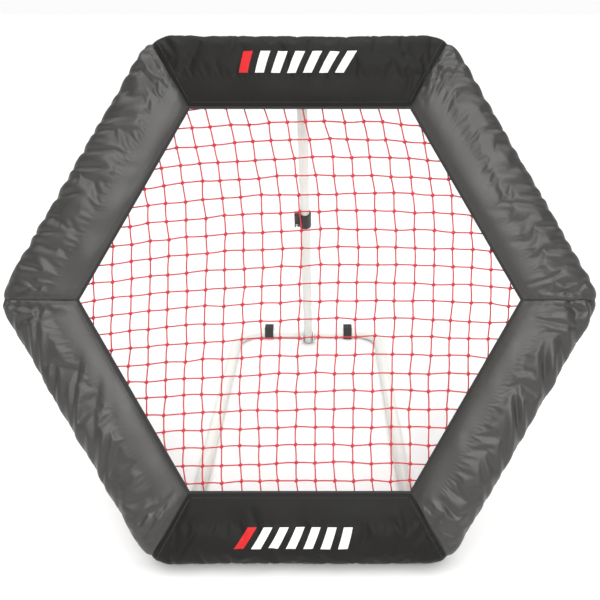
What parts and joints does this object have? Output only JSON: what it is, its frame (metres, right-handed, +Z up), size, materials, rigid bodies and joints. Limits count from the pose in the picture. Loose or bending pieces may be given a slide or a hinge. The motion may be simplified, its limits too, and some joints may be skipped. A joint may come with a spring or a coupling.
{
  "type": "ball rebounder",
  "caption": "Hexagonal ball rebounder: padded steel tube frame with a laced knotted net, hinged on a U-shaped ground base and propped by a telescopic strut.",
  "frame": {"origin": "on the ground, under the middle of the whole part's box", "axes": "+X across the part from its left to its right as seen from the front, +Y from the net's face back to the base's crossbar, +Z up"},
  "size_m": [1.225, 1.0174, 1.0029],
  "materials": {
    "steel": "gloss",
    "zinc": "satin",
    "plastic": "satin",
    "rubber": "matte",
    "cover": "satin",
    "net": "matte",
    "elastic": "matte"
  },
  "bodies": {
    "base": {"base_frame": "steel", "leg_plug_left": "plastic", "leg_plug_right": "plastic", "front_foot_left": "rubber", "front_foot_right": "rubber", "crossbar_clip_left": "plastic", "crossbar_clip_right": "plastic", "strut_clevis": "steel", "strut_foot_bolt": "zinc", "strut_foot_nut": "zinc", "strut_foot_washer_left": "plastic", "strut_foot_washer_right": "plastic"},
    "frame": {"frame_upper_tube": "steel", "frame_lower_tube": "steel", "frame_connector_left": "zinc", "frame_connector_right": "zinc", "joint_screw_left_upper": "zinc", "joint_screw_left_lower": "zinc", "joint_screw_right_upper": "zinc", "joint_screw_right_lower": "zinc", "hinge_bracket_left": "steel", "hinge_left_bolt": "zinc", "hinge_left_nut": "zinc", "hinge_bracket_right": "steel", "hinge_right_bolt": "zinc", "hinge_right_nut": "zinc", "top_bracket": "steel", "top_pivot_bolt": "zinc", "top_pivot_nut": "zinc", "net": "net", "net_border_cord": "net", "lacing_top": "elastic", "lacing_upper_left": "elastic", "lacing_lower_left": "elastic", "lacing_bottom": "elastic", "lacing_lower_right": "elastic", "lacing_upper_right": "elastic", "pad_top": "cover", "pad_upper_left": "cover", "pad_lower_left": "cover", "pad_bottom": "cover", "pad_lower_right": "cover", "pad_upper_right": "cover"},
    "strut_lower": {"strut_outer_tube": "steel", "strut_foot_plug": "plastic", "clamp_collar": "plastic", "clamp_bolt": "zinc", "clamp_nut": "zinc"},
    "strut_upper": {"strut_inner_tube": "steel", "strut_slide_bush": "plastic", "strut_top_eye": "plastic"},
    "lever": {"clamp_lever": "plastic", "clamp_lever_pin": "zinc"}
  },
  "joints": [
    {"name": "frame_tilt", "type": "hinge", "parent": "base", "child": "frame", "pos_m": [0, -0.43347, 0.019], "axis": [1, 0, 0], "range_deg": [-20, 4]},
    {"name": "strut_pivot", "type": "hinge", "parent": "base", "child": "strut_lower", "pos_m": [0, 0.44953, 0.019], "axis": [1, 0, 0], "range_deg": [-14, 3]},
    {"name": "strut_slide", "type": "slide", "parent": "strut_lower", "child": "strut_upper", "axis": [0, -0.4217, 0.9067], "range_m": [-0.295, 0.06]},
    {"name": "clamp_lever_swing", "type": "hinge", "parent": "strut_lower", "child": "lever", "pos_m": [-0.0225, 0.20055, 0.51639], "axis": [1, 0, 0], "range_deg": [0, 100]}
  ],
  "couplings": [
    {"joint": "strut_pivot", "follows": "frame_tilt", "ratio": 0.6775},
    {"joint": "strut_slide", "follows": "frame_tilt", "m_per_rad": 0.829}
  ]
}
